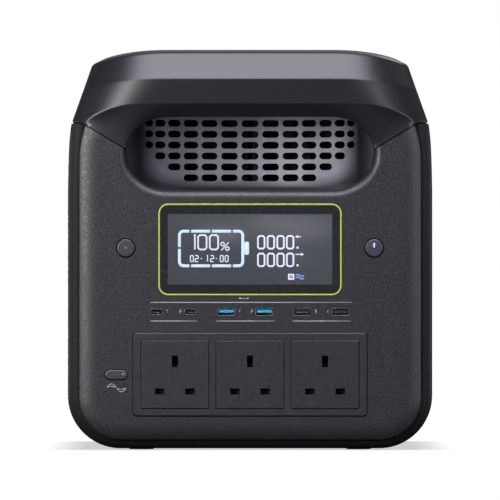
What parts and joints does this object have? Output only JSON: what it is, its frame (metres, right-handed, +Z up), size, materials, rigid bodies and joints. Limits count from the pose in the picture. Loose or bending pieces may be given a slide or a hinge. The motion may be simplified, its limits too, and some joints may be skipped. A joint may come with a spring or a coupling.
{
  "type": "portable power station",
  "caption": "Portable power station: a box with carrying brows at both ends, front display, plug sockets and charging ports, rear inlets, battery and fans inside.",
  "frame": {"origin": "centre of the footprint, on the surface that the feet stand on", "axes": "+Z up, the display and sockets face -Y, +X to the right of someone facing them"},
  "size_m": [0.268, 0.386, 0.294],
  "materials": {
    "grained_shell": "finely grained moulded plastic",
    "satin_shell": "satin moulded plastic",
    "side_shell": "smooth dark moulded plastic",
    "grille_plastic": "satin moulded plastic",
    "socket_plastic": "finely grained moulded plastic",
    "shutter_plastic": "plain moulded plastic",
    "window": "polished smoked acrylic",
    "display": "backlit display glass",
    "trim": "bright green moulded trim",
    "button": "satin key cap",
    "port_black": "moulded connector plastic",
    "port_blue": "blue moulded connector plastic",
    "port_steel": "drawn steel shell",
    "rubber": "moulded rubber",
    "reset_red": "red moulded key",
    "cell_wrap": "shrink wrap over cells",
    "circuit_board": "lacquered circuit board",
    "aluminium": "bare extruded metal",
    "copper": "bare copper strap",
    "core": "taped winding"
  },
  "bodies": {
    "casing": {"base_tray": "side_shell", "left_side_cover": "side_shell", "right_side_cover": "side_shell", "top_cover": "satin_shell", "front_panel": "grained_shell", "rear_panel": "grained_shell", "front_grille": "grille_plastic", "rear_grille": "grille_plastic", "foot_front_left": "rubber", "foot_front_right": "rubber", "foot_rear_left": "rubber", "foot_rear_right": "rubber", "display_trim_ring": "trim", "display_window": "window", "lcd_module": "display", "outlet_frame": "socket_plastic", "port_board": "circuit_board", "car_socket": "port_black", "dc_jack_1": "port_black", "dc_jack_2": "port_black", "ac_inlet": "port_black", "solar_inlet": "port_black", "breaker_body": "port_black", "chassis_frame": "aluminium", "battery_pack_1": "cell_wrap", "battery_pack_2": "cell_wrap", "bms_board": "circuit_board", "inverter_board": "circuit_board", "charger_board": "circuit_board", "heatsink": "aluminium", "transformer": "core", "busbar_positive": "copper", "busbar_negative": "copper", "wiring_loom": "rubber", "air_duct": "port_black", "socket_module_1": "socket_plastic", "socket_module_2": "socket_plastic", "socket_module_3": "socket_plastic", "usb_c_port_1": "port_steel", "usb_c_port_2": "port_steel", "usb_a_port_1": "port_blue", "fan_frame_1": "port_black", "usb_a_port_2": "port_blue", "fan_frame_2": "port_black", "usb_a_port_3": "port_black", "fan_frame_3": "port_black", "usb_a_port_4": "port_black", "fan_frame_4": "port_black"},
    "screen_button": {"screen_button": "button"},
    "power_button": {"power_button": "button"},
    "ac_button": {"ac_button": "button"},
    "breaker_reset_button": {"breaker_reset_button": "reset_red"},
    "socket_shutter_1": {"socket_shutter_1": "shutter_plastic"},
    "socket_shutter_2": {"socket_shutter_2": "shutter_plastic"},
    "socket_shutter_3": {"socket_shutter_3": "shutter_plastic"},
    "fan_rotor_1": {"fan_rotor_1": "port_black"},
    "fan_rotor_2": {"fan_rotor_2": "port_black"},
    "fan_rotor_3": {"fan_rotor_3": "port_black"},
    "fan_rotor_4": {"fan_rotor_4": "port_black"},
    "car_socket_cap": {"car_socket_cap": "rubber"}
  },
  "joints": [
    {"name": "screen_button_press", "type": "slide", "parent": "casing", "child": "screen_button", "axis": [0, 1, 0], "range_m": [0, 0.0015], "stiffness_N_per_m": 600, "springref_m": -0.001},
    {"name": "power_button_press", "type": "slide", "parent": "casing", "child": "power_button", "axis": [0, 1, 0], "range_m": [0, 0.0015], "stiffness_N_per_m": 600, "springref_m": -0.001},
    {"name": "ac_button_press", "type": "slide", "parent": "casing", "child": "ac_button", "axis": [0, 1, 0], "range_m": [0, 0.0015], "stiffness_N_per_m": 600, "springref_m": -0.001},
    {"name": "breaker_reset_press", "type": "slide", "parent": "casing", "child": "breaker_reset_button", "axis": [0, -1, 0], "range_m": [0, 0.002], "stiffness_N_per_m": 900, "springref_m": -0.001},
    {"name": "socket_shutter_1_drop", "type": "slide", "parent": "casing", "child": "socket_shutter_1", "axis": [0, 0, -1], "range_m": [0, 0.0068], "stiffness_N_per_m": 60, "springref_m": -0.004},
    {"name": "socket_shutter_2_drop", "type": "slide", "parent": "casing", "child": "socket_shutter_2", "axis": [0, 0, -1], "range_m": [0, 0.0068], "stiffness_N_per_m": 60, "springref_m": -0.004},
    {"name": "socket_shutter_3_drop", "type": "slide", "parent": "casing", "child": "socket_shutter_3", "axis": [0, 0, -1], "range_m": [0, 0.0068], "stiffness_N_per_m": 60, "springref_m": -0.004},
    {"name": "fan_1_spin", "type": "hinge", "parent": "casing", "child": "fan_rotor_1", "pos_m": [-0.032, -0.095, 0.218], "axis": [0, 1, 0], "continuous": true},
    {"name": "fan_2_spin", "type": "hinge", "parent": "casing", "child": "fan_rotor_2", "pos_m": [0.032, -0.095, 0.218], "axis": [0, 1, 0], "continuous": true},
    {"name": "fan_3_spin", "type": "hinge", "parent": "casing", "child": "fan_rotor_3", "pos_m": [-0.032, 0.095, 0.218], "axis": [0, 1, 0], "continuous": true},
    {"name": "fan_4_spin", "type": "hinge", "parent": "casing", "child": "fan_rotor_4", "pos_m": [0.032, 0.095, 0.218], "axis": [0, 1, 0], "continuous": true},
    {"name": "car_cap_hinge", "type": "hinge", "parent": "casing", "child": "car_socket_cap", "pos_m": [-0.07, 0.1885, 0.1495], "axis": [1, 0, 0], "range_deg": [0, 110]}
  ]
}
